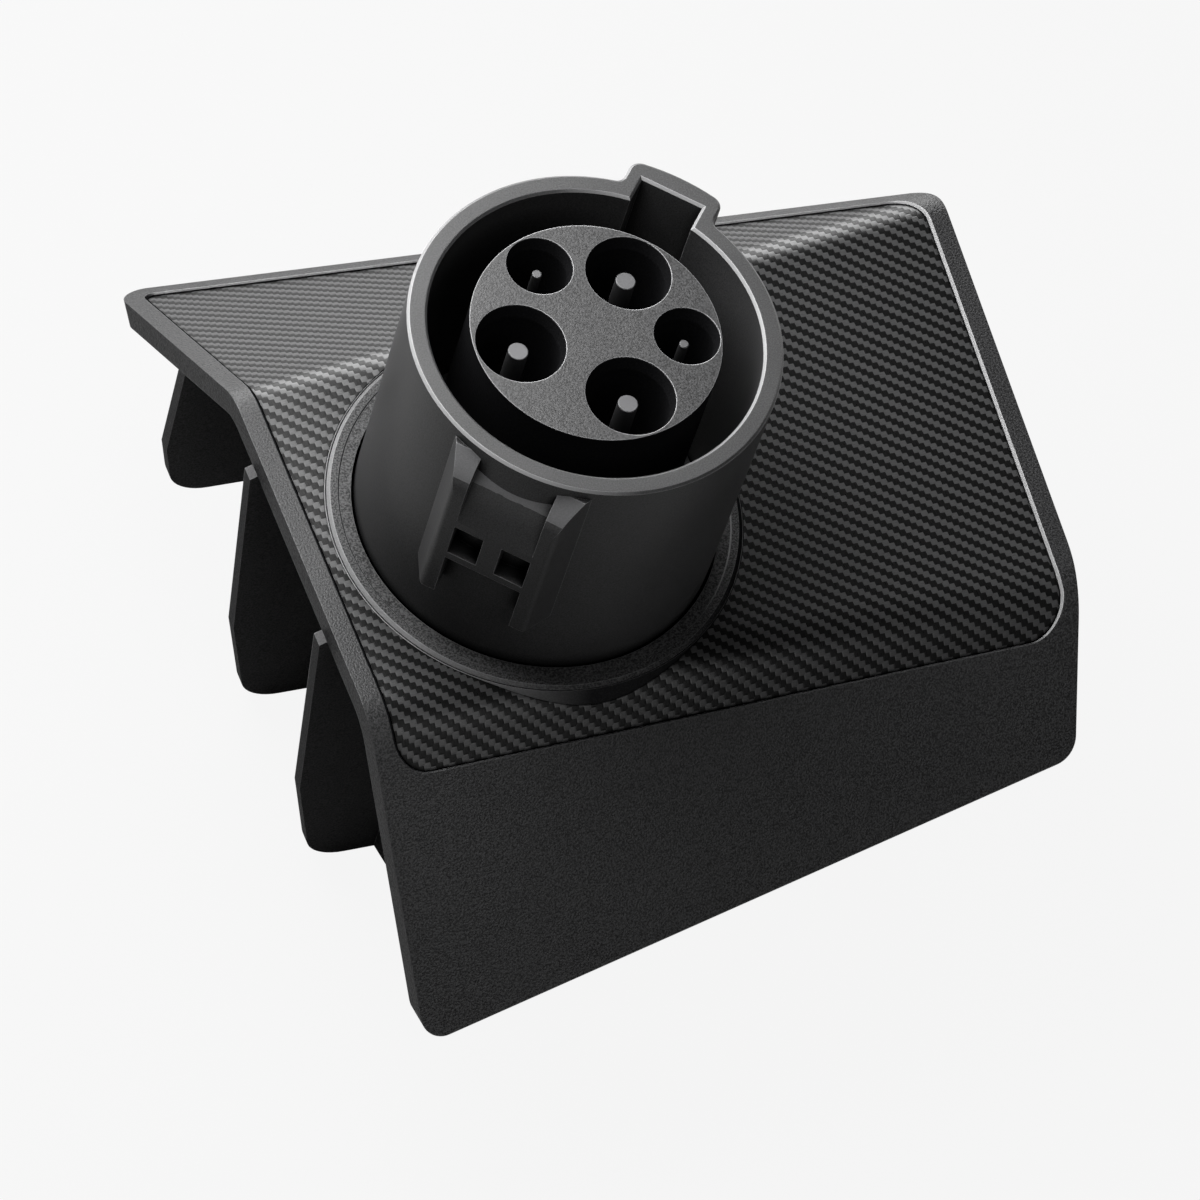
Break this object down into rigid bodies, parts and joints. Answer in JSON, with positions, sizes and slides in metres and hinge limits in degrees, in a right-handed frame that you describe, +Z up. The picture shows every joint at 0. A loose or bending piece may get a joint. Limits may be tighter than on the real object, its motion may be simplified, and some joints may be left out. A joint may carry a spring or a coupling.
{
  "type": "charging adapter dock",
  "caption": "Dock with a faceted carbon-look cover, a socket ring and finned feet, holding a round electric vehicle charging adapter with an open pin inlet on top.",
  "frame": {"origin": "on the surface that the dock rests on, below the middle of the whole object", "axes": "+Z up along the socket's axis, -Y towards the tall front facet, +X to the right along the fins"},
  "size_m": [0.111, 0.123, 0.1072],
  "materials": {
    "cover_plastic": "fine moulded grain, black",
    "carbon_twill": "carbon twill film, satin",
    "adhesive": "soft film",
    "sleeve_plastic": "fine moulded grain, black",
    "pad_rubber": "matte",
    "tray_plastic": "fine moulded grain, black",
    "screw_steel": "plain",
    "shell_plastic": "satin, dark grey",
    "core_plastic": "fine moulded grain, dark grey",
    "seal_rubber": "matte",
    "nose_plastic": "satin, dark grey",
    "pin_metal": "plated, satin",
    "strap_metal": "plain copper alloy",
    "contact_metal": "plated copper alloy"
  },
  "bodies": {
    "root": {"top_cover": "cover_plastic", "carbon_insert": "carbon_twill", "insert_adhesive": "adhesive", "socket_sleeve": "sleeve_plastic", "seat_pad": "pad_rubber", "rib_tray": "tray_plastic", "cover_screws": "screw_steel", "adapter_shell": "shell_plastic", "inlet_core": "core_plastic", "core_plate": "core_plastic", "core_seal": "seal_rubber", "plug_nose": "nose_plastic", "adapter_screws": "screw_steel", "pin_line_1": "pin_metal", "pin_line_2": "pin_metal", "pin_ground": "pin_metal", "pin_pilot": "pin_metal", "pin_proximity": "pin_metal", "strap_line_1": "strap_metal", "strap_line_2": "strap_metal", "strap_ground": "strap_metal", "strap_pilot": "strap_metal", "strap_proximity": "strap_metal", "contact_line_1": "contact_metal", "contact_line_2": "contact_metal", "contact_ground": "contact_metal", "contact_pilot": "contact_metal", "contact_proximity": "contact_metal"}
  },
  "joints": []
}
